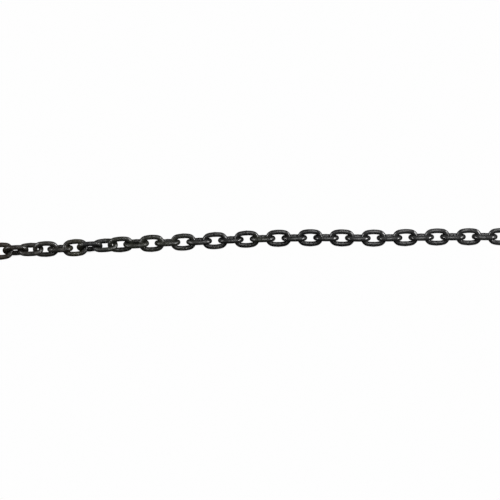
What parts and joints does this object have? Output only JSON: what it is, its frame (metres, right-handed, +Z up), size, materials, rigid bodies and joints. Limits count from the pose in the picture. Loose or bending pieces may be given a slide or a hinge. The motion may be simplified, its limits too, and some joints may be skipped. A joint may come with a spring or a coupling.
{
  "type": "lifting chain",
  "caption": "Short-link chain of round steel wire with a black finish, laid out nearly straight, each link turned a quarter turn from the next and free to swing in it.",
  "frame": {"origin": "under the middle of the chain's box, on the floor that it lies on", "axes": "+X along the chain, +Z up"},
  "size_m": [0.9778, 0.0356, 0.0284],
  "materials": {
    "black_steel": "satin black"
  },
  "bodies": {
    "link_01": {"link_01": "black_steel"},
    "link_02": {"link_02": "black_steel"},
    "link_03": {"link_03": "black_steel"},
    "link_04": {"link_04": "black_steel"},
    "link_05": {"link_05": "black_steel"},
    "link_06": {"link_06": "black_steel"},
    "link_07": {"link_07": "black_steel"},
    "link_08": {"link_08": "black_steel"},
    "link_09": {"link_09": "black_steel"},
    "link_10": {"link_10": "black_steel"},
    "link_11": {"link_11": "black_steel"},
    "link_12": {"link_12": "black_steel"},
    "link_13": {"link_13": "black_steel"},
    "link_14": {"link_14": "black_steel"},
    "link_15": {"link_15": "black_steel"},
    "link_16": {"link_16": "black_steel"},
    "link_17": {"link_17": "black_steel"},
    "link_18": {"link_18": "black_steel"},
    "link_19": {"link_19": "black_steel"},
    "link_20": {"link_20": "black_steel"},
    "link_21": {"link_21": "black_steel"},
    "link_22": {"link_22": "black_steel"},
    "link_23": {"link_23": "black_steel"},
    "link_24": {"link_24": "black_steel"},
    "link_25": {"link_25": "black_steel"},
    "link_26": {"link_26": "black_steel"},
    "link_27": {"link_27": "black_steel"},
    "link_28": {"link_28": "black_steel"},
    "link_29": {"link_29": "black_steel"},
    "link_30": {"link_30": "black_steel"},
    "link_31": {"link_31": "black_steel"},
    "link_32": {"link_32": "black_steel"},
    "link_33": {"link_33": "black_steel"},
    "link_34": {"link_34": "black_steel"},
    "link_35": {"link_35": "black_steel"},
    "link_36": {"link_36": "black_steel"},
    "link_37": {"link_37": "black_steel"},
    "link_38": {"link_38": "black_steel"}
  },
  "joints": [
    {"name": "swing_20", "type": "hinge", "parent": "link_19", "child": "link_20", "pos_m": [-0.00295, 0.00647, 0.011], "axis": [-0.0075, 0.7071, -0.7071], "range_deg": [-90, 90]},
    {"name": "swing_21", "type": "hinge", "parent": "link_20", "child": "link_21", "pos_m": [0.02275, 0.0067, 0.01087], "axis": [0.0005, -0.7071, -0.7071], "range_deg": [-90, 90]},
    {"name": "swing_22", "type": "hinge", "parent": "link_21", "child": "link_22", "pos_m": [0.04845, 0.00668, 0.011], "axis": [-0.0054, -0.7071, 0.7071], "range_deg": [-90, 90]},
    {"name": "swing_23", "type": "hinge", "parent": "link_22", "child": "link_23", "pos_m": [0.07415, 0.00645, 0.01089], "axis": [0.0114, 0.707, 0.7071], "range_deg": [-90, 90]},
    {"name": "swing_24", "type": "hinge", "parent": "link_23", "child": "link_24", "pos_m": [0.09985, 0.006, 0.011], "axis": [0.0192, 0.7068, -0.7071], "range_deg": [-90, 90]},
    {"name": "swing_25", "type": "hinge", "parent": "link_24", "child": "link_25", "pos_m": [0.12554, 0.00525, 0.01086], "axis": [-0.0286, -0.7065, -0.7071], "range_deg": [-90, 90]},
    {"name": "swing_26", "type": "hinge", "parent": "link_25", "child": "link_26", "pos_m": [0.15121, 0.00416, 0.01103], "axis": [-0.0337, -0.7063, 0.7071], "range_deg": [-90, 90]},
    {"name": "swing_27", "type": "hinge", "parent": "link_26", "child": "link_27", "pos_m": [0.17688, 0.0029, 0.01094], "axis": [0.0301, 0.7065, 0.7071], "range_deg": [-90, 90]},
    {"name": "swing_28", "type": "hinge", "parent": "link_27", "child": "link_28", "pos_m": [0.20256, 0.00183, 0.01087], "axis": [0.0199, 0.7068, -0.7071], "range_deg": [-90, 90]},
    {"name": "swing_29", "type": "hinge", "parent": "link_28", "child": "link_29", "pos_m": [0.22825, 0.00117, 0.01105], "axis": [-0.0102, -0.707, -0.7071], "range_deg": [-90, 90]},
    {"name": "swing_30", "type": "hinge", "parent": "link_29", "child": "link_30", "pos_m": [0.25395, 0.00085, 0.01088], "axis": [-0.0063, -0.7071, 0.7071], "range_deg": [-90, 90]},
    {"name": "swing_31", "type": "hinge", "parent": "link_30", "child": "link_31", "pos_m": [0.27965, 0.00065, 0.01095], "axis": [0.0084, 0.7071, 0.7071], "range_deg": [-90, 90]},
    {"name": "swing_32", "type": "hinge", "parent": "link_31", "child": "link_32", "pos_m": [0.30534, 0.00033, 0.01099], "axis": [0.0139, 0.707, -0.7071], "range_deg": [-90, 90]},
    {"name": "swing_33", "type": "hinge", "parent": "link_32", "child": "link_33", "pos_m": [0.33104, -0.00021, 0.01089], "axis": [-0.0183, -0.7069, -0.7071], "range_deg": [-90, 90]},
    {"name": "swing_34", "type": "hinge", "parent": "link_33", "child": "link_34", "pos_m": [0.35673, -0.0009, 0.01097], "axis": [-0.0206, -0.7068, 0.7071], "range_deg": [-90, 90]},
    {"name": "swing_35", "type": "hinge", "parent": "link_34", "child": "link_35", "pos_m": [0.38242, -0.00166, 0.01093], "axis": [0.022, 0.7068, 0.7071], "range_deg": [-90, 90]},
    {"name": "swing_36", "type": "hinge", "parent": "link_35", "child": "link_36", "pos_m": [0.4081, -0.00247, 0.01095], "axis": [0.0247, 0.7067, -0.7071], "range_deg": [-90, 90]},
    {"name": "swing_37", "type": "hinge", "parent": "link_36", "child": "link_37", "pos_m": [0.43379, -0.00338, 0.0109], "axis": [-0.0278, -0.7066, -0.7071], "range_deg": [-90, 90]},
    {"name": "swing_38", "type": "hinge", "parent": "link_37", "child": "link_38", "pos_m": [0.45947, -0.00441, 0.01096], "axis": [-0.0286, -0.7065, 0.7071], "range_deg": [-90, 90]},
    {"name": "swing_18", "type": "hinge", "parent": "link_19", "child": "link_18", "pos_m": [-0.03714, 0.00576, 0.011], "axis": [0.0189, -0.7069, 0.7071], "range_deg": [-90, 90]},
    {"name": "swing_17", "type": "hinge", "parent": "link_18", "child": "link_17", "pos_m": [-0.06283, 0.00517, 0.01104], "axis": [0.0188, -0.7069, -0.7071], "range_deg": [-90, 90]},
    {"name": "swing_16", "type": "hinge", "parent": "link_17", "child": "link_16", "pos_m": [-0.08848, 0.00416, 0.01137], "axis": [-0.0167, 0.7069, -0.7071], "range_deg": [-90, 90]},
    {"name": "swing_15", "type": "hinge", "parent": "link_16", "child": "link_15", "pos_m": [-0.11411, 0.00397, 0.0118], "axis": [-0.0157, 0.7069, 0.7071], "range_deg": [-90, 90]},
    {"name": "swing_14", "type": "hinge", "parent": "link_15", "child": "link_14", "pos_m": [-0.13972, 0.00301, 0.01219], "axis": [0.0173, -0.7069, 0.7071], "range_deg": [-90, 90]},
    {"name": "swing_13", "type": "hinge", "parent": "link_14", "child": "link_13", "pos_m": [-0.16534, 0.0031, 0.01288], "axis": [0.0179, -0.5875, -0.809], "range_deg": [-90, 90]},
    {"name": "swing_12", "type": "hinge", "parent": "link_13", "child": "link_12", "pos_m": [-0.19023, 0.00144, 0.01357], "axis": [-0.0362, 0.8981, -0.4384], "range_deg": [-90, 90]},
    {"name": "swing_11", "type": "hinge", "parent": "link_12", "child": "link_11", "pos_m": [-0.21538, 0.00087, 0.01433], "axis": [-0.0101, 0.2077, 0.9781], "range_deg": [-90, 90]},
    {"name": "swing_10", "type": "hinge", "parent": "link_11", "child": "link_10", "pos_m": [-0.24065, -0.00056, 0.01439], "axis": [0.0482, -0.9865, -0.1564], "range_deg": [-90, 90]},
    {"name": "swing_09", "type": "hinge", "parent": "link_10", "child": "link_09", "pos_m": [-0.2652, -0.00164, 0.01361], "axis": [-0.0164, 0.4064, -0.9135], "range_deg": [-90, 90]},
    {"name": "swing_08", "type": "hinge", "parent": "link_09", "child": "link_08", "pos_m": [-0.28844, -0.00267, 0.01359], "axis": [0.0191, -0.6944, -0.7193], "range_deg": [-90, 90]},
    {"name": "swing_07", "type": "hinge", "parent": "link_08", "child": "link_07", "pos_m": [-0.3126, -0.00351, 0.01367], "axis": [0.0143, -0.8909, 0.454], "range_deg": [-90, 90]},
    {"name": "swing_06", "type": "hinge", "parent": "link_07", "child": "link_06", "pos_m": [-0.33574, -0.00348, 0.01458], "axis": [-0.0029, 0.2419, 0.9703], "range_deg": [-90, 90]},
    {"name": "swing_05", "type": "hinge", "parent": "link_06", "child": "link_05", "pos_m": [-0.36041, -0.00383, 0.01459], "axis": [-0.0145, 0.9902, 0.1392], "range_deg": [-90, 90]},
    {"name": "swing_04", "type": "hinge", "parent": "link_05", "child": "link_04", "pos_m": [-0.38437, -0.00403, 0.01366], "axis": [-0.0086, 0.3745, -0.9272], "range_deg": [-90, 90]},
    {"name": "swing_03", "type": "hinge", "parent": "link_04", "child": "link_03", "pos_m": [-0.40881, -0.00503, 0.01346], "axis": [-0.025, 0.8188, 0.5736], "range_deg": [-90, 90]},
    {"name": "swing_02", "type": "hinge", "parent": "link_03", "child": "link_02", "pos_m": [-0.43397, -0.00541, 0.01298], "axis": [0.0222, -0.7068, 0.7071], "range_deg": [-90, 90]},
    {"name": "swing_01", "type": "hinge", "parent": "link_02", "child": "link_01", "pos_m": [-0.45953, -0.00658, 0.0126], "axis": [0.0211, -0.7068, -0.7071], "range_deg": [-90, 90]}
  ]
}
